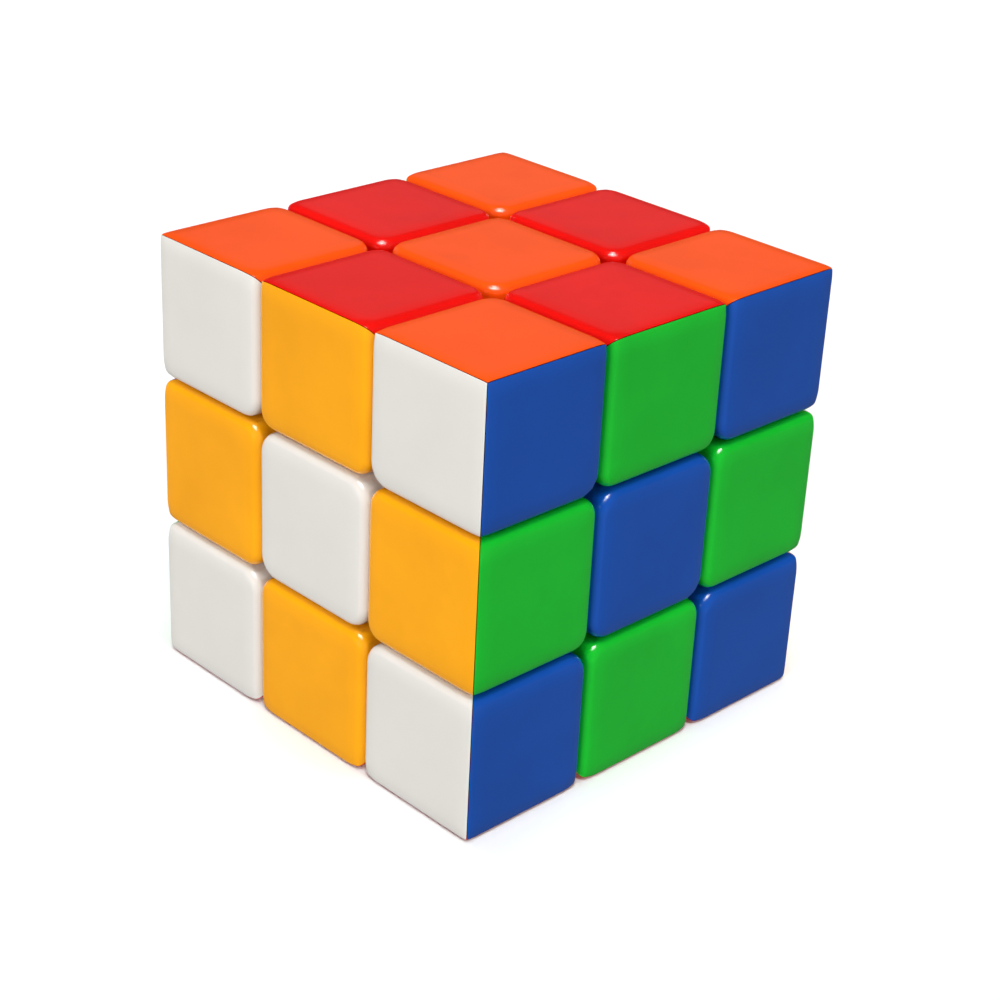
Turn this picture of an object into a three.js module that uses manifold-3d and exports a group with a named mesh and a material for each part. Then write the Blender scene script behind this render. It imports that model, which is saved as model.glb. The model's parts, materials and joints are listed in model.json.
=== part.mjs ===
// A three-layer twisty puzzle cube, as an assembly of its separate pieces.
// Coloured shells on twenty edge and corner pieces ride on six sprung centre pieces,
// which turn on the six arms of a core hidden in the middle.
// Millimetres, +Z up. The origin is the cube's centre, where the six turning axes meet.
import * as THREE from 'three';
import { mergeVertices } from 'three/addons/utils/BufferGeometryUtils.js';
import Module from 'manifold-3d';

// ---- Driving dimensions, in millimetres ----
const cube_side = 57;            // outside, face to face
const middle_layer = 19.6;       // thickness of each middle layer; the outer layers share the rest
const play = 0.3;                // gap between two pieces that slide past each other
const seam = 0.3;                // gap between two fixed shells of one piece
const shell_wall = 1.6;          // wall of the hollow coloured shells

const facelet_corner = 3.0;      // round of a centre's or corner's coloured face where four pieces meet
const edge_facelet_corner = 2.2; // the same round on an edge piece
const facelet_fillet = 0.9;      // soft round of a coloured face along each cut

const stalk_wall = 1.25;         // thinnest wall of a centre piece's square stalk, around its well
const foot_cover = 2.0;          // how far the ball of feet reaches past the corners of the middle layers
const core_ball_radius = 8.4;    // ball whose six flats carry the arms
const core_ball_play = 0.7;      // room between that ball and the feet of the edge pieces

const arm_radius = 2.9;          // round arm that a centre piece turns on
const arm_length = 3.2;          // above the flat of the core
const stalk_floor = 1.5;         // floor in the stalk that the spring pushes on
const well_radius = 4.6;         // well for the spring and the screw head
const well_wall = 1.3;           // tube around that well

const screw_radius = 1.1;        // shank of the tension screw
const screw_bite = 7;            // how deep the screw goes into the arm and core
const screw_tip = 1.2;           // its point
const screw_head_radius = 2.9;
const screw_head_height = 2.0;
const screw_slot_width = 0.9;    // cross recess in the head
const screw_slot_length = 3.8;
const screw_slot_depth = 1.1;
const washer_play = 0.9;         // between the washer under the head and the well
const washer_thickness = 0.6;
const screw_play = 0.35;         // between the shank and every hole it passes

const spring_height = 4.4;       // as fitted
const spring_radius = 2.5;       // to the middle of its wire
const wire_radius = 0.35;
const spring_turns = 4;

const cap_thickness = 2.2;       // coloured cap of a centre piece
const cap_tube_wall = 1.5;       // round tube under the cap, a push fit in the well
const cap_headroom = 1.4;        // between that tube and the screw head
const cap_tube_root = 0.55;      // how far the tube runs into the cap, to be one with it

const rib = 1.4;                 // each of the two ribs across a hollow edge shell
const corner_bore = 1.6;         // radius of the bore from a hollow corner piece out through its foot

// ---- Fineness of the round shapes ----
const ball_detail = 3;           // subdivision of the icosahedron that becomes the ball of feet
const core_ball_detail = 1;      // the same for the ball at the core
const round_steps = 12;          // sides of a bored or turned round
const small_round_steps = 8;     // sides of a screw
const corner_steps = 3;          // sides of a facelet's rounded corner
const fillet_steps = 1;          // sides of the fillet along a cut
const coil_steps = 8;            // steps in a turn of spring
const wire_sides = 4;

// ---- Places worked out from the driving dimensions ----
const half = cube_side / 2;
const cut = middle_layer / 2;                            // each turning plane is this far from the centre
const layer_top = half + seam;                           // past the outside, for cuts that run out of it
const slide = play / 2;                                  // each piece's share of a sliding gap
const stalk_half = well_radius + stalk_wall + slide;
const ball_radius = cut * Math.sqrt(3) + foot_cover;     // the feet of edges and corners fill this ball
const core_flat = stalk_half - slide;
const stalk_base = stalk_half + slide;
const arm_top = core_flat + arm_length;
const floor_bottom = arm_top + play;
const floor_top = floor_bottom + stalk_floor;
const spring_base = floor_top + play;
const washer_radius = well_radius - washer_play;
const washer_bottom = spring_base + spring_height + play;
const head_bottom = washer_bottom + washer_thickness;
const head_top = head_bottom + screw_head_height;
const screw_end = arm_top - screw_bite;
const cap_bottom = half - cap_thickness;
const body_top = cap_bottom - seam;
const tube_bottom = head_top + cap_headroom;
const hollow_floor = ball_radius + shell_wall;           // hollows stay a wall clear of the ball

// ---- Colours of the plastic ----
const plastic = {
  up: 0xff5f28,
  down: 0xe0302a,
  front: 0xe8e6e2,
  back: 0xfdaa20,
  right: 0x21489e,
  left: 0x26aa30,
};
const opposite = { up: 'down', down: 'up', front: 'back', back: 'front', left: 'right', right: 'left' };

const wasm = await Module();
wasm.setup();

// ---- Solids ----

const same_point = 1e-5;         // vertices nearer to each other than this are one

/** A closed geometry as a solid that can be joined and cut. */
function solid_from(geometry) {
  const bare = geometry.clone();
  bare.deleteAttribute('normal');
  bare.deleteAttribute('uv');
  const merged = mergeVertices(bare, same_point);
  const index = merged.index.array;
  const faces = [];
  for (let i = 0; i < index.length; i += 3) {
    const [a, b, c] = [index[i], index[i + 1], index[i + 2]];
    if (a !== b && b !== c && c !== a) faces.push(a, b, c);
  }
  const mesh = new wasm.Mesh({
    numProp: 3,
    vertProperties: new Float32Array(merged.attributes.position.array),
    triVerts: new Uint32Array(faces),
  });
  return new wasm.Manifold(mesh);
}

/** The geometry of a finished solid. */
function geometry_from(solid) {
  const mesh = solid.getMesh();
  const geometry = new THREE.BufferGeometry();
  geometry.setAttribute('position', new THREE.BufferAttribute(new Float32Array(mesh.vertProperties), 3));
  geometry.setIndex(new THREE.BufferAttribute(new Uint32Array(mesh.triVerts), 1));
  geometry.computeVertexNormals();
  return geometry;
}

/** A block between two opposite corners. */
function block(low, high) {
  const size = high.map((value, axis) => value - low[axis]);
  const geometry = new THREE.BoxGeometry(...size);
  geometry.translate(...high.map((value, axis) => (value + low[axis]) / 2));
  return solid_from(geometry);
}

/** A round bar along Z. Its sides touch the radius from outside when it is a cutter. */
function bar(radius, bottom, top, steps, cutter = false) {
  const reach = cutter ? radius / Math.cos(Math.PI / steps) : radius;
  const geometry = new THREE.CylinderGeometry(reach, reach, top - bottom, steps);
  geometry.rotateX(Math.PI / 2);
  geometry.translate(0, 0, (top + bottom) / 2);
  return solid_from(geometry);
}

/** How far the nearest facet of a unit ball is from its centre. */
function facet_depth(ball) {
  const at = ball.attributes.position;
  const plane = new THREE.Plane();
  let depth = 1;
  for (let i = 0; i < at.count; i += 3) {
    const corners = [0, 1, 2].map((step) => new THREE.Vector3().fromBufferAttribute(at, i + step));
    plane.setFromCoplanarPoints(...corners);
    depth = Math.min(depth, Math.abs(plane.constant));
  }
  return depth;
}

/** A faceted ball about the cube's centre, all inside the radius, or all outside it for a cutter. */
function ball(radius, detail, cutter = false) {
  const geometry = new THREE.IcosahedronGeometry(1, detail);
  const reach = cutter ? radius / facet_depth(geometry) : radius;
  geometry.scale(reach, reach, reach);
  return solid_from(geometry);
}

/** A rectangle whose chosen corners are round; the corners run counter-clockwise from the lowest. */
function outline(left, bottom, right, top, rounds) {
  const corners = [[left, bottom], [right, bottom], [right, top], [left, top]];
  const shape = new THREE.Shape();
  corners.forEach(([x, y], i) => {
    const radius = rounds[i];
    if (radius === 0) {
      if (i === 0) shape.moveTo(x, y);
      else shape.lineTo(x, y);
      return;
    }
    const middle_x = x + (x === left ? radius : -radius);
    const middle_y = y + (y === bottom ? radius : -radius);
    const start = Math.PI * (1 + i / 2);
    shape.absarc(middle_x, middle_y, radius, start, start + Math.PI / 2, false);
  });
  shape.closePath();
  return shape;
}

/** An upright prism of an outline that ends at the cube's outer face in a small fillet. */
function faced_prism(shape, bottom) {
  const geometry = new THREE.ExtrudeGeometry(shape, {
    depth: half - facelet_fillet - bottom,
    curveSegments: corner_steps,
    bevelEnabled: true,
    bevelThickness: facelet_fillet,
    bevelSize: facelet_fillet,
    bevelOffset: -facelet_fillet,
    bevelSegments: fillet_steps,
  });
  geometry.translate(0, 0, bottom);
  return geometry;
}

/** The turn that takes local X, Y and Z to three directions of the cube. */
function turn_to(x, y, z) {
  return new THREE.Matrix4().makeBasis(x, y, z);
}

const X = new THREE.Vector3(1, 0, 0);
const Y = new THREE.Vector3(0, 1, 0);
const Z = new THREE.Vector3(0, 0, 1);

// ---- Corner piece: hollow coloured shells over one foot, drawn where X, Y and Z are positive ----
function corner_solid() {
  const near = cut + slide;
  const face = outline(near, near, layer_top + facelet_fillet, layer_top + facelet_fillet,
    [facelet_corner, 0, 0, 0]);
  const prism = faced_prism(face, near - facelet_fillet - seam);
  let cubie = block([near, near, near], [half, half, half]);
  for (const turn of [turn_to(X, Y, Z), turn_to(Y, Z, X), turn_to(Z, X, Y)]) {
    cubie = cubie.intersect(solid_from(prism.clone().applyMatrix4(turn)));
  }
  const neck_end = near + facelet_corner + shell_wall;
  const neck = block([near, near, near], [neck_end, neck_end, neck_end]);
  const foot_near = stalk_half + slide;
  const foot = block([foot_near, foot_near, foot_near], [half, half, half])
    .intersect(ball(ball_radius - slide, ball_detail));
  return cubie.add(neck).add(foot).subtract(corner_hollow(near));
}

/** The inside of a corner piece: a room a wall clear of every side, and a bore from it down the foot. */
function corner_hollow(near) {
  const inner = near + shell_wall;
  const outer = half - shell_wall;
  const diagonal = new THREE.Vector3(1, 1, 1).normalize();
  const tip = new THREE.Quaternion().setFromUnitVectors(Z, diagonal);
  const bore = bar(corner_bore, 0, ball_radius + facelet_corner, small_round_steps)
    .transform(new THREE.Matrix4().makeRotationFromQuaternion(tip).elements);
  return block([inner, inner, inner], [outer, outer, outer]).add(bore);
}

// ---- Edge piece, drawn along Y with its coloured faces at +Z and +X ----
// Its two shells part on the diagonal plane through the outer edge; this is the one under +Z.
function edge_shell_solid() {
  const near = cut + slide;
  const side = cut - slide;
  const foot_near = stalk_half + slide;
  const foot_side = stalk_half - slide;
  const beyond = layer_top + facelet_fillet;
  const start = near - facelet_fillet - seam;

  const face = outline(near, -side, beyond, side, [edge_facelet_corner, 0, 0, edge_facelet_corner]);
  const upper = faced_prism(face, start);
  const other = upper.clone().applyMatrix4(turn_to(Z, Y.clone().negate(), X));
  const cubie = block([near, -side, near], [half, side, half])
    .intersect(solid_from(upper))
    .intersect(solid_from(other));

  const neck = block([near, -foot_side, near], [half - shell_wall, foot_side, half - shell_wall]);
  const foot = block([foot_near, -foot_side, foot_near], [half, foot_side, half])
    .intersect(ball(ball_radius - slide, ball_detail));
  let piece = cubie.subtract(ball(ball_radius + slide, ball_detail, true))
    .add(neck)
    .add(foot)
    .subtract(ball(core_ball_radius + core_ball_play, core_ball_detail, true));

  for (const hollow of edge_hollows(near, side)) piece = piece.subtract(hollow);
  return piece.intersect(above_diagonal());
}

/** The half of space above the diagonal plane, less half a seam. */
function above_diagonal() {
  const reach = cube_side;
  const geometry = new THREE.BoxGeometry(2 * reach, 2 * reach, reach);
  geometry.translate(0, 0, reach / 2 + seam / 2);
  geometry.rotateY(-Math.PI / 4);
  return solid_from(geometry);
}

/** Three hollows between two ribs, open on the diagonal plane. */
function edge_hollows(near, side) {
  const inner = near + shell_wall;
  const outer = half - shell_wall;
  const ball_clear = ball_radius + shell_wall;
  const diagonal = ball_clear / Math.sqrt(2);
  const shoulder = Math.sqrt(ball_clear ** 2 - inner ** 2);
  const length = 2 * (side - shell_wall);
  const bay = (length - 2 * rib) / 3;
  const profile = new THREE.Shape();
  profile.moveTo(inner, shoulder);
  profile.lineTo(diagonal, diagonal);
  profile.lineTo(shoulder, inner);
  profile.lineTo(outer, inner);
  profile.lineTo(outer, outer);
  profile.lineTo(inner, outer);
  profile.closePath();
  const bays = [];
  for (const place of [-1, 0, 1]) {
    const geometry = new THREE.ExtrudeGeometry(profile, { depth: bay, bevelEnabled: false });
    geometry.translate(0, 0, -bay / 2);
    geometry.rotateX(Math.PI / 2);
    geometry.applyMatrix4(new THREE.Matrix4().makeTranslation(0, place * (bay + rib), 0));
    bays.push(solid_from(geometry));
  }
  return bays;
}

// ---- Centre piece, drawn on +Z: a hollow body on a square stalk, with a coloured cap ----
function centre_body_solid() {
  const side = cut - slide;
  const rounds = [facelet_corner, facelet_corner, facelet_corner, facelet_corner];
  const square = new THREE.ExtrudeGeometry(outline(-side, -side, side, side, rounds), {
    depth: body_top - cut - slide,
    curveSegments: corner_steps,
    bevelEnabled: false,
  });
  square.translate(0, 0, cut + slide);
  const inside = side - shell_wall;
  const tube = bar(well_radius + well_wall, stalk_base, body_top, round_steps);
  const hollow = block([-inside, -inside, hollow_floor], [inside, inside, layer_top]).subtract(tube);
  const stalk = block([-core_flat, -core_flat, stalk_base], [core_flat, core_flat, hollow_floor]);

  return solid_from(square)
    .subtract(ball(ball_radius + slide, ball_detail, true))
    .add(stalk)
    .subtract(hollow)
    .subtract(bar(well_radius, floor_top, layer_top, round_steps, true))
    .subtract(bar(arm_radius + play, 0, floor_bottom, round_steps, true))
    .subtract(bar(screw_radius + screw_play, 0, layer_top, small_round_steps, true));
}

function centre_cap_solid() {
  const side = cut - slide;
  const rounds = [facelet_corner, facelet_corner, facelet_corner, facelet_corner];
  const plate = solid_from(faced_prism(outline(-side, -side, side, side, rounds), body_top - facelet_fillet))
    .subtract(block([-half, -half, 0], [half, half, cap_bottom]));
  const tube_outside = well_radius - seam;
  const tube = bar(tube_outside, tube_bottom, cap_bottom + cap_tube_root, round_steps)
    .subtract(bar(tube_outside - cap_tube_wall, 0, cap_bottom, round_steps));
  return plate.add(tube);
}

// ---- Core: a ball with six flats, six round arms and a blind screw hole in each ----
function core_solid() {
  const flats = block([-core_flat, -core_flat, -core_flat], [core_flat, core_flat, core_flat]);
  let core = ball(core_ball_radius, core_ball_detail).intersect(flats);
  for (const face of Object.values(faces)) {
    const arm = bar(arm_radius, 0, arm_top, round_steps).transform(face.turn.elements);
    core = core.add(arm);
  }
  for (const face of Object.values(faces)) {
    const hole = bar(screw_radius + screw_play, screw_end - screw_play, layer_top, small_round_steps, true);
    core = core.subtract(hole.transform(face.turn.elements));
  }
  return core;
}

// ---- Tension screw along Z, with its washer and a cross recess ----
function screw_solid() {
  const profile = [
    [0, screw_end],
    [screw_radius, screw_end + screw_tip],
    [screw_radius, washer_bottom],
    [washer_radius, washer_bottom],
    [washer_radius, head_bottom],
    [screw_head_radius, head_bottom],
    [screw_head_radius, head_top],
    [0, head_top],
  ];
  const lathe = new THREE.LatheGeometry(profile.map(([r, z]) => new THREE.Vector2(r, z)), small_round_steps);
  lathe.rotateX(Math.PI / 2);
  const reach = screw_slot_length / 2;
  const width = screw_slot_width / 2;
  const slot_bottom = head_top - screw_slot_depth;
  return solid_from(lathe)
    .subtract(block([-reach, -width, slot_bottom], [reach, width, layer_top]))
    .subtract(block([-width, -reach, slot_bottom], [width, reach, layer_top]));
}

// ---- Tension spring around the screw ----
class Helix extends THREE.Curve {
  getPoint(t, target = new THREE.Vector3()) {
    const angle = 2 * Math.PI * spring_turns * t;
    const rise = spring_height - 2 * wire_radius;
    const z = spring_base + wire_radius + rise * t;
    return target.set(spring_radius * Math.cos(angle), spring_radius * Math.sin(angle), z);
  }
}

function spring_geometry() {
  const section = new THREE.Shape();
  for (let i = 0; i < wire_sides; i += 1) {
    const angle = (2 * Math.PI * i) / wire_sides;
    const point = [wire_radius * Math.cos(angle), wire_radius * Math.sin(angle)];
    if (i === 0) section.moveTo(...point);
    else section.lineTo(...point);
  }
  section.closePath();
  const geometry = new THREE.ExtrudeGeometry(section, {
    steps: coil_steps * spring_turns,
    extrudePath: new Helix(),
    bevelEnabled: false,
  });
  return geometry_from(solid_from(geometry));
}

// ---- Assembly ----

/** A face's direction out of the cube, and the turn that brings a piece drawn on +Z to it. */
function face_towards(out, across) {
  return { out, turn: turn_to(across, out.clone().cross(across), out) };
}

const faces = {
  up: face_towards(Z, X),
  down: face_towards(Z.clone().negate(), X),
  front: face_towards(Y.clone().negate(), X),
  back: face_towards(Y, X),
  right: face_towards(X, Y),
  left: face_towards(X.clone().negate(), Y),
};

const shiny = (color) => new THREE.MeshStandardMaterial({ color, roughness: 0.32, metalness: 0 });
const core_plastic = new THREE.MeshStandardMaterial({ color: 0xd8d6d0, roughness: 0.45, metalness: 0 });
const steel = new THREE.MeshStandardMaterial({ color: 0xb4b8bc, roughness: 0.3, metalness: 1 });

const cube = new THREE.Group();

/** Adds one named piece, turned into its place about the cube's centre. */
function place(name, geometry, material, turn) {
  const mesh = new THREE.Mesh(geometry, material);
  mesh.name = name;
  mesh.quaternion.setFromRotationMatrix(turn);
  cube.add(mesh);
}

const corner = geometry_from(corner_solid());
const edge_shell = geometry_from(edge_shell_solid());
const centre_body = geometry_from(centre_body_solid());
const centre_cap = geometry_from(centre_cap_solid());
const screw = geometry_from(screw_solid());
const spring = spring_geometry();

place('core', geometry_from(core_solid()), core_plastic, new THREE.Matrix4());

for (const [name, face] of Object.entries(faces)) {
  place(`${name}_centre_body`, centre_body, shiny(plastic[name]), face.turn);
  place(`${name}_centre_cap`, centre_cap, shiny(plastic[name]), face.turn);
  place(`${name}_tension_screw`, screw, steel, face.turn);
  place(`${name}_tension_spring`, spring, steel, face.turn);
}

// The coloured shell of an edge piece that lies on face a and borders face b.
// In this pattern it has the colour of the face opposite a.
function place_edge_shell(edge, a, b) {
  const out = faces[a].out;
  const across = faces[b].out;
  const turn = turn_to(across, out.clone().cross(across), out);
  place(`${edge}_edge_${a}_shell`, edge_shell, shiny(plastic[opposite[a]]), turn);
}

for (const layer of ['up', 'down']) {
  for (const side of ['front', 'right', 'back', 'left']) {
    place_edge_shell(`${layer}_${side}`, layer, side);
    place_edge_shell(`${layer}_${side}`, side, layer);
  }
}
for (const side of ['front', 'back']) {
  for (const end of ['right', 'left']) {
    place_edge_shell(`${side}_${end}`, side, end);
    place_edge_shell(`${side}_${end}`, end, side);
  }
}

for (const layer of ['up', 'down']) {
  for (const side of ['front', 'back']) {
    for (const end of ['right', 'left']) {
      const [x, y, z] = [faces[end].out, faces[side].out, faces[layer].out];
      const right_handed = x.clone().cross(y).dot(z) > 0;
      const turn = right_handed ? turn_to(x, y, z) : turn_to(y, x, z);
      place(`${layer}_${side}_${end}_corner`, corner, shiny(plastic[layer]), turn);
    }
  }
}

export default cube;
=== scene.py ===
# %% [markdown]
# # A stickerless three-layer puzzle cube
#
# The real object is twenty-six coloured pieces round a hidden core. Eight corner pieces are
# three shells each, twelve edge pieces are two shells each, and six centre pieces are a body
# and a cap. The plastic is coloured all through, so there are no stickers: each colour is a
# separate moulding, and what one sees is how the mouldings meet.
#
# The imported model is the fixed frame. It gives every size and place here, in metres.

# %% Load the frame
import json
import math

import bmesh
import bpy
from mathutils import Matrix, Vector

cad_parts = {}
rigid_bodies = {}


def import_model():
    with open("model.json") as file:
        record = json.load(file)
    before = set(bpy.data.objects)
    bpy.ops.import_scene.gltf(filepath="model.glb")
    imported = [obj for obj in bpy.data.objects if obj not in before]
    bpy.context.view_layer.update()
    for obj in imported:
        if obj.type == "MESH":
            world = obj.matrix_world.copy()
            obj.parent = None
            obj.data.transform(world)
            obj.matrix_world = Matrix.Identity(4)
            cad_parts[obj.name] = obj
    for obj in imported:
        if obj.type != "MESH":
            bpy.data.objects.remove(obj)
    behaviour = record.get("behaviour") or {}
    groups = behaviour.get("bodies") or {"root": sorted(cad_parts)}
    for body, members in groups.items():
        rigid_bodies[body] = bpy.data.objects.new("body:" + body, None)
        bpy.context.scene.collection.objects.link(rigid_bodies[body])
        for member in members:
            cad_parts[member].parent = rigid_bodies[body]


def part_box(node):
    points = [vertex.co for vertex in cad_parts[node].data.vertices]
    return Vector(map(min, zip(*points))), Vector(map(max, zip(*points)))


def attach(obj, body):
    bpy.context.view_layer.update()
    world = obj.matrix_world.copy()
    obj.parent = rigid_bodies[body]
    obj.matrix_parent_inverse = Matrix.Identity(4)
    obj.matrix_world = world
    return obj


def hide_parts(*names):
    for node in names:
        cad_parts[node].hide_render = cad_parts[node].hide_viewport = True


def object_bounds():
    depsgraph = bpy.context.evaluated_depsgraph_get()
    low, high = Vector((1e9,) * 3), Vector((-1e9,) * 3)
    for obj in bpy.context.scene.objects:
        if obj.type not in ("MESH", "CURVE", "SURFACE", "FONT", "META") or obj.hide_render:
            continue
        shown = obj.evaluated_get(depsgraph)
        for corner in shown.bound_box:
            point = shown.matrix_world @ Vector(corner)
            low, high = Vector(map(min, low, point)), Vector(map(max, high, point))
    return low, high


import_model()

cad_low, cad_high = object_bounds()
print("model box in mm:", [round(1000 * value, 2) for value in (*cad_low, *cad_high)])

# %% [markdown]
# ## Sizes
#
# Most sizes are read from the frame: the outside, the turning planes, the feet. The fillets
# and the hairline between two mouldings belong to the looks, so they are named here. A part
# that slides keeps its gap, while two shells that are pressed together close to a hairline.

# %% Sizes shared by all the pieces
mm = 0.001
play = 0.3 * mm                                   # gap between pieces that slide past each other
slide = play / 2
hairline = 0.05 * mm                              # half the line between two pressed shells
shell_wall = 1.6 * mm                             # wall of a hollow piece
overlap = 1.0 * mm                                # solids to be joined or cut pass each other by this
half = cad_high.z                                 # half the width of the whole cube
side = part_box("up_centre_cap")[1].x               # half the width of a centre or edge piece
near = side + play                                # where the outer layers' pieces begin
foot_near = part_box("up_right_edge_up_shell")[0].x
foot_side = foot_near - play                      # half the width of an edge's foot
foot_cover = 1.59 * mm                            # the ball passes the corners' inner points by this
foot_ball = near * math.sqrt(3) + foot_cover      # the ball of all the feet
foot_round = 0.35 * mm
print(f"half {half / mm:.2f}, pieces begin at {near / mm:.2f}, ball {foot_ball / mm:.2f} mm")

# %% Sizes of a coloured face's borders
face_round = 3.0 * mm                             # a facelet's round where four pieces meet
edge_face_round = 2.2 * mm                        # the same on an edge piece
fillet = 0.95 * mm                                # soft round along every cut
cushion_depth = 0.35 * mm                         # how far a face sinks towards a cut,
cushion_reach = 2.8 * mm                          # and from how far inside
fade_end = 2.3 * mm                               # deeper in the wall nothing is sunk
rim_depth = 0.24 * mm                             # the same towards an outer edge of the cube
rim_reach = 2.4 * mm
crest_depth = 0.16 * mm                           # the tight round of that outer edge
crest_reach = 0.42 * mm
round_steps = 8                                   # flat steps that make up a facelet's round
edge_round_steps = 7
fillet_steps = 6
print(f"cut fillet {fillet / mm:.2f} mm, cushion {cushion_depth / mm:.2f} mm deep")

# %% [markdown]
# ## Moulded plastic
#
# The surface is a satin ABS: one colour all through, a soft gloss, and at close range the
# faint orange peel of a polished mould. A flat colour would look like paint in a diagram, so
# the colour drifts by a few per cent in slow clouds, the gloss varies where hands have
# rubbed, and two scales of bump break up the reflection.

# %% Helpers for materials: a new one, a noise pattern, and a roughness that varies
def new_material(name):
    """A material, its node tree, its shader, and the place on the piece itself."""
    material = bpy.data.materials.new(name)
    material.use_nodes = True
    tree = material.node_tree
    place = tree.nodes.new("ShaderNodeTexCoord").outputs["Object"]
    return material, tree, tree.nodes["Principled BSDF"], place


def noise(tree, place, scale, detail):
    pattern = tree.nodes.new("ShaderNodeTexNoise")
    pattern.inputs["Scale"].default_value = scale
    pattern.inputs["Detail"].default_value = detail
    tree.links.new(place, pattern.inputs["Vector"])
    return pattern.outputs["Fac"]


def vary_roughness(tree, pattern, shader, least, most):
    spread = tree.nodes.new("ShaderNodeMapRange")
    spread.inputs["To Min"].default_value = least
    spread.inputs["To Max"].default_value = most
    tree.links.new(pattern, spread.inputs["Value"])
    tree.links.new(spread.outputs["Result"], shader.inputs["Roughness"])


# %% One function makes all the plastics
plastic_ior = 1.52
bump_height = 0.02 * mm
orange_peel = {"scale": 1400, "strength": 0.10}
grain = {"scale": 7000, "strength": 0.06}


def plastic(name, colour, roughness=0.18, drift=0.06):
    """A plastic coloured all through. Drift is how far the colour strays, as a share of it."""
    material, tree, shader, place = new_material(name)
    shader.inputs["IOR"].default_value = plastic_ior

    tones = tree.nodes.new("ShaderNodeValToRGB")
    dark, pale = tones.color_ramp.elements
    dark.position, pale.position = 0.3, 0.7
    dark.color = (*[value * (1 - drift) for value in colour], 1)
    pale.color = (*[min(1, value * (1 + drift)) for value in colour], 1)
    clouds = noise(tree, place, scale=90, detail=3)
    tree.links.new(clouds, tones.inputs["Fac"])
    tree.links.new(tones.outputs["Color"], shader.inputs["Base Color"])

    rubbed = noise(tree, place, scale=260, detail=5)
    vary_roughness(tree, rubbed, shader, roughness - 0.03, roughness + 0.05)

    previous = None
    for texture in (orange_peel, grain):
        bump = tree.nodes.new("ShaderNodeBump")
        bump.inputs["Strength"].default_value = texture["strength"]
        bump.inputs["Distance"].default_value = bump_height
        height = noise(tree, place, texture["scale"], detail=2)
        tree.links.new(height, bump.inputs["Height"])
        if previous:
            tree.links.new(previous.outputs["Normal"], bump.inputs["Normal"])
        previous = bump
    tree.links.new(previous.outputs["Normal"], shader.inputs["Normal"])
    return material


plastics = {
    "orange": plastic("orange_plastic", (0.98, 0.088, 0.003)),
    "red": plastic("red_plastic", (0.76, 0.004, 0.002)),
    "white": plastic("white_plastic", (0.76, 0.735, 0.69), drift=0.02),
    "yellow": plastic("yellow_plastic", (0.97, 0.39, 0.004)),
    "blue": plastic("blue_plastic", (0.003, 0.075, 0.42)),
    "green": plastic("green_plastic", (0.004, 0.52, 0.024)),
}
core_plastic = plastic("core_plastic", (0.72, 0.70, 0.66), roughness=0.45, drift=0.03)
print("plastics:", ", ".join(plastics))

# %% [markdown]
# ## Which colour goes where
#
# The cube is in the chequered pattern: a centre and the four corners of a face keep the
# face's own colour, and the four edges show the colour of the face opposite.

# %% Faces, directions and colours
directions = {
    "up": Vector((0, 0, 1)),
    "down": Vector((0, 0, -1)),
    "front": Vector((0, -1, 0)),
    "back": Vector((0, 1, 0)),
    "right": Vector((1, 0, 0)),
    "left": Vector((-1, 0, 0)),
}
own_colour = {
    "up": "orange", "down": "red",
    "front": "white", "back": "yellow",
    "right": "blue", "left": "green",
}
opposite = {
    "up": "down", "down": "up",
    "front": "back", "back": "front",
    "right": "left", "left": "right",
}


def turn_to(x, y, z):
    """The turn that takes local X, Y and Z to three directions of the cube."""
    return Matrix((x, y, z)).transposed().to_4x4()


def facing(out, across):
    """The turn that takes local Z outwards through a face, and local X across it."""
    return turn_to(across, out.cross(across), out)


print("a front edge shows", own_colour[opposite["front"]])

# %% [markdown]
# ## Working by hand, in code
#
# Each piece is made once at one place of the cube with the same operators one would use by
# hand: add a block, select edges by where they are, bevel them, join or cut with another
# solid. Everything is deselected before each step, because an operator acts on all that is
# selected.

# %% Helpers: selecting, blocks, balls and rods
def only(piece):
    bpy.ops.object.select_all(action="DESELECT")
    piece.select_set(True)
    bpy.context.view_layer.objects.active = piece


def settle(piece, name):
    """Puts the place, turn and size of a new primitive into its mesh."""
    only(piece)
    bpy.ops.object.transform_apply(location=True, rotation=True, scale=True)
    piece.name = name
    return piece


def block(name, low, high):
    low, high = Vector(low), Vector(high)
    bpy.ops.mesh.primitive_cube_add(size=1, location=(low + high) / 2, scale=high - low)
    return settle(bpy.context.object, name)


def sphere(name, radius, fineness=5):
    bpy.ops.mesh.primitive_ico_sphere_add(subdivisions=fineness, radius=radius)
    return settle(bpy.context.object, name)


def rod(name, radius, bottom, top, sides=64):
    bpy.ops.mesh.primitive_cylinder_add(
        vertices=sides, radius=radius, depth=top - bottom, location=(0, 0, (top + bottom) / 2))
    return settle(bpy.context.object, name)


# %% Helpers: bevelling, cutting and joining
def bevel_edges(piece, chosen, width, segments):
    """Bevels the edges whose two ends pass the test."""
    only(piece)
    bpy.ops.object.mode_set(mode="EDIT")
    bpy.ops.mesh.select_mode(type="EDGE")
    bpy.ops.mesh.select_all(action="DESELECT")
    mesh = bmesh.from_edit_mesh(piece.data)
    for edge in mesh.edges:
        edge.select_set(chosen(edge.verts[0].co, edge.verts[1].co))
    bmesh.update_edit_mesh(piece.data)
    bpy.ops.mesh.bevel(offset=width, offset_type="OFFSET", segments=segments, profile=0.5,
                       affect="EDGES", clamp_overlap=False)
    bpy.ops.object.mode_set(mode="OBJECT")


nearness = 0.001 * mm                             # a point this near a cutting plane is on it


def keep_side(piece, point, normal):
    """Cuts a solid with a plane and keeps what is on the normal's side, closed by a flat face."""
    only(piece)
    bpy.ops.object.mode_set(mode="EDIT")
    bpy.ops.mesh.select_all(action="SELECT")
    bpy.ops.mesh.bisect(plane_co=point, plane_no=normal, use_fill=True, clear_inner=True,
                        threshold=nearness)
    bpy.ops.object.mode_set(mode="OBJECT")


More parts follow.
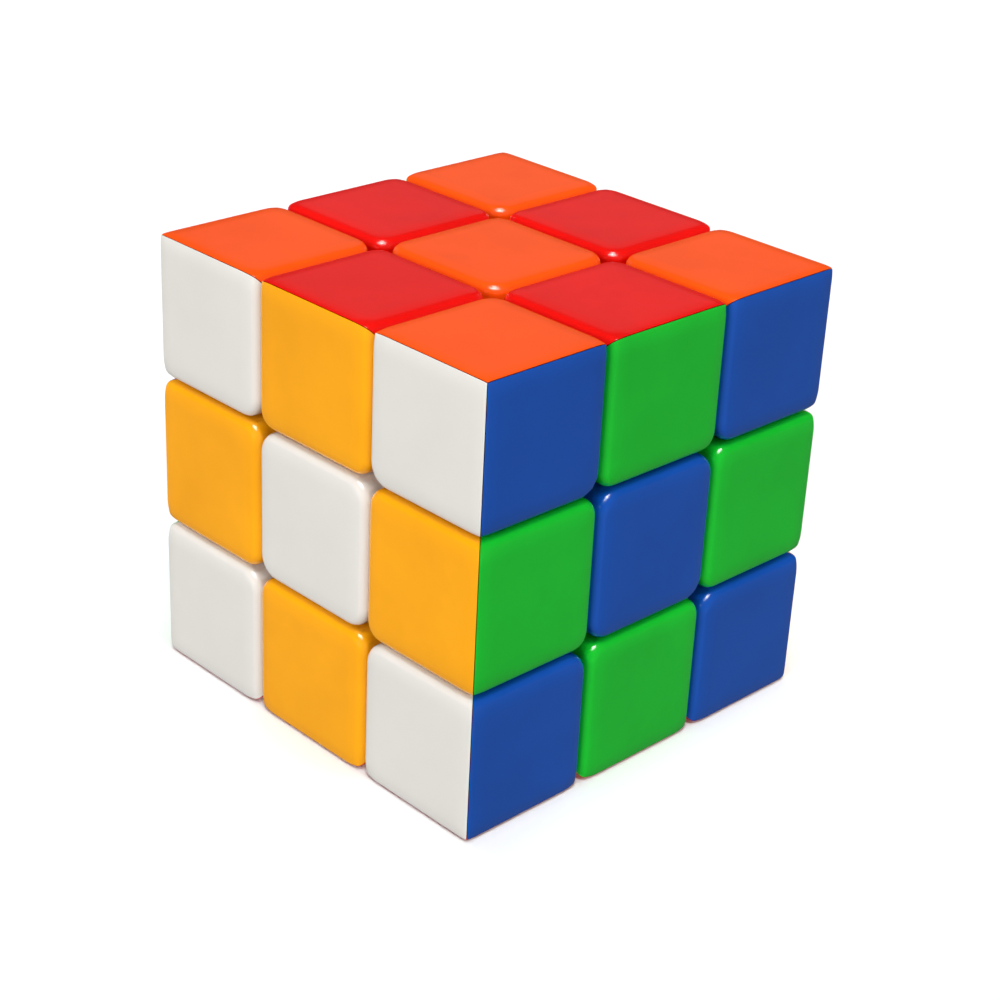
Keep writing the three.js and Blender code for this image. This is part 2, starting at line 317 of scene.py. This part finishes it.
def boolean(piece, other, operation):
    """Joins, cuts or trims a piece with another solid, which is used up."""
    only(piece)
    modifier = piece.modifiers.new(operation, "BOOLEAN")
    modifier.operation = operation
    modifier.solver = "EXACT"
    modifier.object = other
    bpy.ops.object.modifier_apply(modifier=modifier.name)
    bpy.data.objects.remove(other, do_unlink=True)


def soften(piece, width, segments=2, angle=50):
    """A small round on every edge of a hidden part that is sharper than the angle."""
    only(piece)
    modifier = piece.modifiers.new("soften", "BEVEL")
    modifier.width = width
    modifier.segments = segments
    modifier.limit_method = "ANGLE"
    modifier.angle_limit = math.radians(angle)
    bpy.ops.object.modifier_apply(modifier=modifier.name)


def smooth(piece, angle=35):
    """Smooth fillets beside flat faces: the shading follows the larger face."""
    only(piece)
    bpy.ops.object.shade_smooth_by_angle(angle=math.radians(angle))
    modifier = piece.modifiers.new("normals", "WEIGHTED_NORMAL")
    modifier.keep_sharp = True
    bpy.ops.object.modifier_apply(modifier=modifier.name)


# %% Helpers: a cushioned face
def add_loops(piece, axis, places):
    """Cuts edge loops round a piece, on planes square to an axis."""
    normal = Vector([float(axis == other) for other in range(3)])
    only(piece)
    bpy.ops.object.mode_set(mode="EDIT")
    for place in places:
        bpy.ops.mesh.select_all(action="SELECT")
        bpy.ops.mesh.bisect(plane_co=normal * place, plane_no=normal, threshold=nearness)
    bpy.ops.object.mode_set(mode="OBJECT")


def dip(depth, reach, distance):
    """Full depth at a border, and level again from the reach on."""
    return depth * max(0, 1 - distance / reach) ** 2


def rim(distance):
    """How far one coloured face sinks towards the crest where it meets another."""
    return dip(rim_depth, rim_reach, distance) + dip(crest_depth, crest_reach, distance)


rounds = 40                                       # enough for the crest to come to rest
crest = 0
for _ in range(rounds):
    crest = rim(crest)                            # where two rims meet on the diagonal plane


def crest_pull(inside, axis, other):
    """How far a point moves in along an axis, near the crest between two coloured faces."""
    near_crest, far = sorted((inside[axis], inside[other]))
    across = dip(crest, rim_reach, far)
    down = rim(far + across)
    own = down if inside[axis] <= inside[other] else across
    share = (near_crest + nearness) / (far + nearness)
    return own + ((down + across) / 2 - own) * share


def cushion(piece, face_axes, cuts):
    """Sinks coloured faces a little towards their cuts and towards the crest between two of them."""
    parting = hairline * math.sqrt(2)
    for vertex in piece.data.vertices:
        place = vertex.co.copy()
        inside = [max(0, half - value - shift) for value, shift in zip(place, (parting, parting, 0))]
        for axis in face_axes:
            pulls = [crest_pull(inside, axis, other) for other in face_axes if other != axis]
            fade = min(1, max(0, (fade_end - inside[axis]) / (fade_end - fillet)))
            borders = [abs(place[cut] - where) for cut, where in cuts if cut != axis]
            sunk = fade * sum(dip(cushion_depth, cushion_reach, border) for border in borders)
            vertex.co[axis] = place[axis] - sunk - math.hypot(*pulls)


print(f"a crest between two faces ends {crest / mm:.2f} mm inside the sharp edge")


# %% Helpers: choosing edges by place, and copying
same_place = 0.01 * mm


def at(value, target):
    return abs(value - target) < same_place


def both(a, b, axis, target):
    """Both ends of an edge lie on one plane."""
    return at(a[axis], target) and at(b[axis], target)


def copy_to(pattern, name, turn, material, body, slot, *nodes):
    """A copy of a pattern piece, with its own mesh, turned to its place in the cube."""
    piece = pattern.copy()
    piece.data = pattern.data.copy()
    piece.name = name
    piece.data.transform(turn)
    piece.data.materials.clear()
    piece.data.materials.append(material)
    bpy.context.scene.collection.objects.link(piece)
    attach(piece, body)
    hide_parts(*nodes)
    return piece


# %% [markdown]
# ## Corner piece
#
# A corner piece is a small cube with three coloured faces. Its inner edges are well rounded
# where four pieces meet, and the coloured faces end in a soft fillet along the cuts. Inside,
# a foot reaches under the neighbours: part of one big ball shared by all the feet, so that
# the layers can turn. One shell is a third of it, cut free by the two diagonal planes
# through the outer edges.
#
# A moulded face is never quite flat. It is cushioned: it sinks by a third of a millimetre
# towards its borders, so each tile catches the light with a soft band all round. A bevel
# can't make that without rounding the silhouette too much. So loops are cut across the
# finished shell, and their points are lowered by a smooth curve. The curve is the same seen
# from each of the three faces, so the diagonal planes stay flat and the shells still fit.

# %% Model the corner piece where X, Y and Z are positive
corner = block("corner_pattern", (near, near, near), (half, half, half))
axes = (0, 1, 2)


def inner_edge(a, b):
    return sum(both(a, b, axis, near) for axis in axes) == 2


def face_border(a, b):
    return sum(both(a, b, axis, half) for axis in axes) == 1


bevel_edges(corner, inner_edge, face_round, round_steps)
bevel_edges(corner, face_border, fillet, fillet_steps)
print("corner cubie:", len(corner.data.polygons), "faces")

# %% Add its neck and foot, and hollow it
room_round = 0.6 * mm
neck_end = near + face_round + shell_wall
neck = block("neck", (near, near, near), (neck_end, neck_end, neck_end))
foot = sphere("foot", foot_ball - slide)
for direction in ((1, 0, 0), (0, 1, 0), (0, 0, 1)):
    keep_side(foot, Vector(direction) * foot_near, direction)
soften(foot, foot_round)
boolean(corner, neck, "UNION")
boolean(corner, foot, "UNION")
room = block("room", [near + shell_wall] * 3, [half - shell_wall] * 3)
soften(room, room_round)
boolean(corner, room, "DIFFERENCE")
print("with its foot and hollow:", len(corner.data.polygons), "faces")

# %% Part one shell from the corner
for axis_turned in ((-1, 0, 1), (0, -1, 1)):
    normal = Vector(axis_turned).normalized()
    keep_side(corner, normal * hairline, normal)
# The loops stand closest where the surface curves most.
crest_loops = [half - step * mm for step in (0.08, 0.17, 0.28, 0.42, 0.75, 1.15, 1.6, 2.4)]
cut_loops = [near + step * mm for step in (1.3, 1.75, 2.25, 2.8)]
for axis in (0, 1):
    add_loops(corner, axis, crest_loops + cut_loops)
cushion(corner, (0, 1, 2), [(0, near), (1, near), (2, near)])
smooth(corner)
print("one corner shell:", len(corner.data.polygons), "faces")

# %% Place all twenty-four corner shells
for layer in ("up", "down"):
    for front in ("front", "back"):
        for end in ("right", "left"):
            node = f"{layer}_{front}_{end}_corner"
            trio = (layer, front, end)
            for face in trio:
                x_name, y_name = [name for name in trio if name != face]
                x, y, z = directions[x_name], directions[y_name], directions[face]
                if x.cross(y).dot(z) < 0:
                    x, y = y, x
                colour = own_colour[face]
                copy_to(corner, f"{node}_{face}_shell", turn_to(x, y, z), plastics[colour],
                        node, f"{colour}_plastic", node)
bpy.data.objects.remove(corner)
print("corner shells placed on eight corners")

# %% [markdown]
# ## Edge piece
#
# The edge piece is drawn along Y, with coloured faces at +Z and +X. It has the same fillets
# and foot, and two pockets of the ball beside its neck, where the feet of the two corner
# pieces ride. Its two shells meet on the diagonal plane through the outer edge. Each is a
# thin moulding with two ribs, not a lump: solid plastic would sink as it cools.

# %% Model the edge piece
edge = block("edge_pattern", (near, -side, near), (half, side, half))


def edge_inner(a, b):
    on_side = both(a, b, 1, side) or both(a, b, 1, -side)
    return on_side and (both(a, b, 0, near) != both(a, b, 2, near))


def edge_border(a, b):
    return both(a, b, 0, half) != both(a, b, 2, half)


bevel_edges(edge, edge_inner, edge_face_round, edge_round_steps)
bevel_edges(edge, edge_border, fillet, fillet_steps)
print("edge cubie:", len(edge.data.polygons), "faces")

# %% Its pockets, neck and foot
core_room = 9.1 * mm                              # radius kept free for the core
boolean(edge, sphere("socket", foot_ball + slide), "DIFFERENCE")
inside = half - shell_wall
neck = block("neck", (near, -foot_side, near), (inside, foot_side, inside))
boolean(edge, neck, "UNION")
foot = sphere("foot", foot_ball - slide)
keep_side(foot, (foot_near, 0, 0), (1, 0, 0))
keep_side(foot, (0, 0, foot_near), (0, 0, 1))
keep_side(foot, (0, -foot_side, 0), (0, 1, 0))
keep_side(foot, (0, foot_side, 0), (0, -1, 0))
soften(foot, foot_round)
boolean(edge, foot, "UNION")
boolean(edge, sphere("core_room", core_room, fineness=4), "DIFFERENCE")
print("with its foot:", len(edge.data.polygons), "faces")

# %% Three bays between two ribs
rib = 1.4 * mm
length = 2 * (side - shell_wall)
bay = (length - 2 * rib) / 3
bay_start = near + shell_wall
for place in (-1, 0, 1):
    middle = place * (bay + rib)
    room = block("room", (bay_start, middle - bay / 2, bay_start), (inside, middle + bay / 2, inside))
    boolean(room, sphere("clear", foot_ball + shell_wall), "DIFFERENCE")
    boolean(edge, room, "DIFFERENCE")
print("with its bays:", len(edge.data.polygons), "faces")

# %% Part one shell from the edge, and cushion its face
normal = Vector((-1, 0, 1)).normalized()
keep_side(edge, normal * hairline, normal)
add_loops(edge, 0, crest_loops + cut_loops)
end_loops = [side - (place - near) for place in cut_loops]
add_loops(edge, 1, end_loops + [-place for place in end_loops])
cushion(edge, (0, 2), [(0, near), (2, near), (1, side), (1, -side)])
smooth(edge)
print("one edge shell:", len(edge.data.polygons), "faces")

# %% Place all twenty-four edge shells
walls = ("front", "right", "back", "left")
edge_pairs = [(layer, wall) for layer in ("up", "down") for wall in walls]
edge_pairs += [(front, end) for front in ("front", "back") for end in ("right", "left")]
for pair in edge_pairs:
    body = f"{pair[0]}_{pair[1]}_edge"
    for face, neighbour in (pair, pair[::-1]):
        out, across = directions[face], directions[neighbour]
        colour = own_colour[opposite[face]]
        node = f"{body}_{face}_shell"
        copy_to(edge, f"{body}_{face}_moulding", facing(out, across), plastics[colour],
                body, f"{colour}_plastic", node)
bpy.data.objects.remove(edge)
print("edge shells:", 2 * len(edge_pairs))

# %% [markdown]
# ## Centre piece
#
# The cap is a thick plate with round corners and the same fillet all round. A tube under it
# is a push fit in the body. The body carries the square stalk that turns on an arm of the
# core, and its underside is hollowed by the ball of feet.

# %% Model the cap
body_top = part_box("up_centre_body")[1].z
cap_bottom = body_top + hairline
tube_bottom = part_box("up_centre_cap")[0].z
tube_radius = 4.3 * mm
tube_bore = 2.8 * mm


def upright(a, b):
    return at(a.x, b.x) and at(a.y, b.y)


def top_border(a, b):
    return both(a, b, 2, half)


cap = block("cap_pattern", (-side, -side, cap_bottom), (side, side, half))
bevel_edges(cap, upright, face_round, round_steps)
bevel_edges(cap, top_border, fillet, fillet_steps)
tube = rod("tube", tube_radius, tube_bottom, cap_bottom + overlap)
boolean(tube, rod("tube_bore", tube_bore, tube_bottom - overlap, cap_bottom), "DIFFERENCE")
boolean(cap, tube, "UNION")
for axis in (0, 1):
    add_loops(cap, axis, end_loops + [-place for place in end_loops])
cushion(cap, (2,), [(0, side), (0, -side), (1, side), (1, -side)])
smooth(cap)
print("cap:", len(cap.data.polygons), "faces")

# %% Model the body
stalk_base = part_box("up_centre_body")[0].z
stalk_side = foot_side
stalk_round = 0.4 * mm
arm_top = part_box("core")[1].z
arm_bore = 3.2 * mm                               # turns on the arm with the same play
floor_wall = 1.5 * mm                             # the spring stands on this floor
floor_bottom = arm_top + play
floor_top = floor_bottom + floor_wall
well_radius = 4.6 * mm
screw_hole = 1.45 * mm
body = block("body_pattern", (-side, -side, near), (side, side, body_top))
bevel_edges(body, upright, face_round, round_steps)
boolean(body, sphere("socket", foot_ball + slide), "DIFFERENCE")
stalk_top = body_top - overlap
stalk = block("stalk", (-stalk_side, -stalk_side, stalk_base), (stalk_side, stalk_side, stalk_top))
bevel_edges(stalk, upright, stalk_round, segments=2)
boolean(body, stalk, "UNION")
boolean(body, rod("well", well_radius, floor_top, half), "DIFFERENCE")
boolean(body, rod("arm_bore", arm_bore, 0, floor_bottom), "DIFFERENCE")
boolean(body, rod("screw_hole", screw_hole, 0, half, sides=32), "DIFFERENCE")
smooth(body)
print("centre body:", len(body.data.polygons), "faces")

# %% Place six caps and six bodies
face_turns = {}
for face, out in directions.items():
    face_turns[face] = facing(out, directions["back"] if out.x else directions["right"])
for face, turn in face_turns.items():
    colour = own_colour[face]
    copy_to(cap, f"{face}_cap", turn, plastics[colour], f"{face}_centre", f"{colour}_plastic",
            f"{face}_centre_cap")
    copy_to(body, f"{face}_body", turn, plastics[colour], f"{face}_centre", f"{colour}_plastic",
            f"{face}_centre_body")
bpy.data.objects.remove(cap)
bpy.data.objects.remove(body)
print("centres placed")

# %% [markdown]
# ## Core, screws and springs
#
# These are hidden while the cube is together. The core is a small ball of uncoloured nylon
# with six flats and six arms. A plated screw in each arm holds a centre piece down against a
# spring, which is what lets the layers give a little as they turn.
#
# A spring is one round wire on a helix, so it is swept: a ring of points is turned and lifted
# by the Screw modifier. A screw is turned on a lathe, so its outline is spun round its axis.
# That makes the thread a row of rings instead of a helix, which is enough for a thread that
# is hidden in its hole.

# %% Finish of the screws and springs
streak_scale = 900
streak_spread = 0.12                              # how far the roughness strays


def steel(name, colour, roughness):
    material, tree, shader, place = new_material(name)
    shader.inputs["Base Color"].default_value = (*colour, 1)
    shader.inputs["Metallic"].default_value = 1.0
    streaks = noise(tree, place, streak_scale, detail=6)
    vary_roughness(tree, streaks, shader, roughness - streak_spread, roughness + streak_spread)
    return material


plated_steel = steel("plated_steel", (0.62, 0.63, 0.65), 0.30)
spring_steel = steel("spring_steel", (0.50, 0.49, 0.47), 0.36)
print("two steels")

# %% Core: a ball with flats and arms, and a hole down each arm
core_ball = 8.4 * mm
core_flat = foot_side
arm_radius = 2.9 * mm
arm_round = 0.3 * mm
joint_round = 0.15 * mm                           # where the arms meet the ball
hole_depth = 7.35 * mm
core = sphere("core_moulding", core_ball, fineness=4)
flats = block("flats", [-core_flat] * 3, [core_flat] * 3)
boolean(core, flats, "INTERSECT")
arm_turns = [facing(out, Vector((out.y, out.z, out.x))) for out in directions.values()]
for turn in arm_turns:
    arm = rod("arm", arm_radius, 0, arm_top)
    soften(arm, arm_round)
    arm.data.transform(turn)
    boolean(core, arm, "UNION")
for turn in arm_turns:
    hole = rod("hole", screw_hole, arm_top - hole_depth, half, sides=32)
    hole.data.transform(turn)
    boolean(core, hole, "DIFFERENCE")
soften(core, joint_round, angle=40)
smooth(core)
core.data.materials.append(core_plastic)
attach(core, "core_assembly")
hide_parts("core")
print("core:", len(core.data.polygons), "faces")

# %% Spring: one round wire, wound by the Screw modifier
spring_low, spring_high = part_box("up_tension_spring")
wire = 0.34 * mm                                  # radius of the wire
wire_sides = 12
turns = 4
steps_in_turn = 40
coil_radius = 2.5 * mm
end_gap = 0.05 * mm                               # the wire's ends stop short of what they press on
bpy.ops.mesh.primitive_circle_add(
    vertices=wire_sides, radius=wire, fill_type="NOTHING", rotation=(math.pi / 2, 0, 0),
    location=(coil_radius, 0, spring_low.z + wire + end_gap))
spring = settle(bpy.context.object, "spring_pattern")
modifier = spring.modifiers.new("wind", "SCREW")
modifier.axis = "Z"
modifier.angle = 2 * math.pi * turns
modifier.screw_offset = spring_high.z - spring_low.z - 2 * wire - 2 * end_gap
modifier.steps = steps_in_turn * turns
modifier.render_steps = steps_in_turn * turns
only(spring)
bpy.ops.object.modifier_apply(modifier="wind")
bpy.ops.object.mode_set(mode="EDIT")
bpy.ops.mesh.select_mode(type="VERT")
bpy.ops.mesh.select_all(action="DESELECT")
bpy.ops.mesh.select_non_manifold()
bpy.ops.mesh.edge_face_add()
bpy.ops.mesh.select_all(action="SELECT")
bpy.ops.mesh.normals_make_consistent(inside=False)
bpy.ops.object.mode_set(mode="OBJECT")
smooth(spring, angle=50)
print("spring:", len(spring.data.polygons), "faces")

# %% Sizes of the screw and its washer
screw_low, screw_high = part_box("up_tension_screw")
tip_radius = 0.45 * mm
tip_length = 0.5 * mm
shank = 1.1 * mm                                  # radius over the threads
thread_root = 0.86 * shank
plain_shank = 0.9 * shank                         # the part without threads
pitch = 0.8 * mm
washer = screw_high.x                             # radius of the washer
washer_round = 0.12 * mm
washer_wall = 0.6 * mm
head = 2.9 * mm                                   # radius of the head
head_height = 2.0 * mm
head_rim = 0.7 * mm                               # height of its upright rim, below the dome
head_round = 0.1 * mm
washer_top = screw_high.z - head_height
washer_bottom = washer_top - washer_wall
dome_bottom = washer_top + head_rim
dome = screw_high.z - dome_bottom
cross_length = 1.7 * mm                           # half the length of the recess's arms,
cross_width = 0.42 * mm                           # and half their width
cross_depth = 1.2 * mm
print(f"screw {(screw_high.z - screw_low.z) / mm:.2f} mm long, thread pitch {pitch / mm:.2f} mm")

# %% The screw's outline, as radius and height, from the tip to the top of the head
outline = [(0, screw_low.z), (tip_radius, screw_low.z + tip_length)]
z = screw_low.z + 2 * tip_length
while z + pitch < arm_top:
    outline += [(thread_root, z), (shank, z + 0.4 * pitch), (shank, z + 0.5 * pitch)]
    z += pitch
outline += [
    (plain_shank, z), (plain_shank, washer_bottom),
    (washer - washer_round, washer_bottom), (washer, washer_bottom + washer_round),
    (washer, washer_top - washer_round), (washer - washer_round, washer_top),
    (head - head_round, washer_top), (head, washer_top + head_round), (head, dome_bottom),
]
for step in range(15, 90, 15):
    angle = math.radians(step)
    outline.append((head * math.cos(angle), dome_bottom + dome * math.sin(angle)))
outline.append((0, screw_high.z))
print("points in the outline:", len(outline))

# %% Draw the outline by extruding one point, spin it, and cut the cross recess
spin_steps = 40
bpy.ops.mesh.primitive_plane_add(size=mm, location=(0, 0, screw_low.z))
screw = settle(bpy.context.object, "screw_pattern")
bpy.ops.object.mode_set(mode="EDIT")
bpy.ops.mesh.select_mode(type="VERT")
bpy.ops.mesh.select_all(action="SELECT")
bpy.ops.mesh.merge(type="CENTER")
for here, there in zip(outline, outline[1:]):
    move = (there[0] - here[0], 0, there[1] - here[1])
    bpy.ops.mesh.extrude_vertices_move(TRANSFORM_OT_translate={"value": move})
bpy.ops.mesh.select_all(action="SELECT")
bpy.ops.mesh.spin(steps=spin_steps, angle=2 * math.pi, center=(0, 0, 0), axis=(0, 0, 1))
bpy.ops.mesh.select_all(action="SELECT")
bpy.ops.mesh.remove_doubles(threshold=nearness)
bpy.ops.mesh.normals_make_consistent(inside=False)
bpy.ops.object.mode_set(mode="OBJECT")
recess_bottom = screw_high.z - cross_depth
for long, short in ((cross_length, cross_width), (cross_width, cross_length)):
    slot = block("slot", (-long, -short, recess_bottom), (long, short, screw_high.z + overlap))
    boolean(screw, slot, "DIFFERENCE")
smooth(screw, angle=40)
print("screw:", len(screw.data.polygons), "faces")

# %% Place six screws and six springs
for face, turn in face_turns.items():
    for pattern, part, finish in ((screw, "screw", plated_steel), (spring, "spring", spring_steel)):
        copy_to(pattern, f"{face}_{part}", turn, finish, "core_assembly", "steel", f"{face}_tension_{part}")
for pattern in (screw, spring):
    bpy.data.objects.remove(pattern)
print("hidden parts placed")

# %% [markdown]
# ## Floor, light and camera
#
# The cube stands on a plain pale table in a dim room. All the lamps are suns: their light
# comes from far away, so it doesn't fade across so small an object. One lights the top and
# four low ones light the sides. A gloss like this would mirror each low lamp as a pale line
# along the fillets, so those four are kept from glossy rays. The glint is the opposite. It
# stands high over the upright edge that faces us, only the gloss sees it, and it draws the
# bright spots on the corners, with the smaller sparkle in its middle.
#
# The camera stands a little above the cube and looks at the upright edge between the front
# and the right face.

# %% Floor, a hair below the cube so that the two planes don't fight for the same place
floor_gap = 0.02 * mm
bpy.ops.mesh.primitive_plane_add(size=6, location=(0, 0, cad_low.z - floor_gap))
floor = bpy.context.object
floor.name = "floor"
floor_finish = bpy.data.materials.new("floor")
floor_finish.use_nodes = True
floor_shader = floor_finish.node_tree.nodes["Principled BSDF"]
floor_shader.inputs["Base Color"].default_value = (0.95, 0.95, 0.95, 1)
floor_shader.inputs["Roughness"].default_value = 0.9
floor.data.materials.append(floor_finish)
floor.visible_glossy = False
floor.visible_diffuse = False
print(f"floor {floor_gap / mm:.2f} mm below the cube")

# %% Room: dim above, and brighter below, where the pale table is reflected
above, below = 0.06, 0.2
horizon = 0.1                                     # half the height over which one fades to the other
world = bpy.data.worlds.new("studio")
bpy.context.scene.world = world
world.use_nodes = True
nodes, links = world.node_tree.nodes, world.node_tree.links
looking = nodes.new("ShaderNodeTexCoord")
height = nodes.new("ShaderNodeSeparateXYZ")
links.new(looking.outputs["Generated"], height.inputs["Vector"])
strength = nodes.new("ShaderNodeMapRange")
strength.inputs["From Min"].default_value = -horizon
strength.inputs["From Max"].default_value = horizon
strength.inputs["To Min"].default_value = below
strength.inputs["To Max"].default_value = above
links.new(height.outputs["Z"], strength.inputs["Value"])
links.new(strength.outputs["Result"], nodes["Background"].inputs["Strength"])
nodes["Background"].inputs["Color"].default_value = (1, 1, 1, 1)
print("room set")


# %% Lamps
def sun(name, source, energy, spread, glossy=True, diffuse=True):
    """A far lamp that shines from a direction, as wide as its spread in degrees."""
    data = bpy.data.lights.new(name, "SUN")
    data.energy = energy
    data.angle = math.radians(spread)
    light = bpy.data.objects.new(name, data)
    light.location = source
    light.rotation_mode = "QUATERNION"
    light.rotation_quaternion = (-Vector(source)).to_track_quat("-Z", "Y")
    light.visible_glossy = glossy
    light.visible_diffuse = diffuse
    bpy.context.scene.collection.objects.link(light)


sun("top", (0.0, 0.0, 1.0), 0.92, 16)
sun("panel", (-0.64, 0.64, 0.42), 0.02, 24)
sun("sparkle", (0.3, -0.3, 0.91), 1.2, 14)
sun("glint", (0.3, -0.3, 0.91), 3.0, 36, diffuse=False)
sun("key", (0.15, -0.97, 0.2), 2.5, 35, glossy=False)
sun("fill", (0.97, 0.0, 0.2), 1.5, 90, glossy=False)
sun("back", (0.0, 0.97, 0.2), 1.6, 30, glossy=False)
sun("left", (-0.97, 0.0, 0.2), 1.6, 30, glossy=False)
print("lamps:", len(bpy.data.lights))


# %% Camera
def camera_at(azimuth, elevation, distance, aim_right, aim_up, roll, lens):
    """Angles in degrees. The aim is how far it looks past the cube's middle."""
    a, e = math.radians(azimuth), math.radians(elevation)
    place = Vector((math.sin(a) * math.cos(e), -math.cos(a) * math.cos(e), math.sin(e))) * distance
    right = (-place).cross(Vector((0, 0, 1))).normalized()
    up = right.cross(-place).normalized()
    look = -place + right * aim_right + up * aim_up
    data = bpy.data.cameras.new("camera")
    data.lens = lens
    data.sensor_width = 36
    data.clip_start = 0.01
    camera = bpy.data.objects.new("camera", data)
    camera.location = place
    camera.rotation_mode = "QUATERNION"
    straight = look.to_track_quat("-Z", "Y")
    tilt = Matrix.Rotation(math.radians(roll), 3, "Z").to_quaternion()
    camera.rotation_quaternion = straight @ tilt
    bpy.context.scene.collection.objects.link(camera)
    bpy.context.scene.camera = camera
    return camera


camera = camera_at(azimuth=45.445, elevation=25.331, distance=262.4 * mm,
                   aim_right=1.84 * mm, aim_up=-4.17 * mm, roll=2.876, lens=75.9)
bpy.context.scene.view_settings.view_transform = "Standard"
print("camera at", [round(value, 4) for value in camera.location])
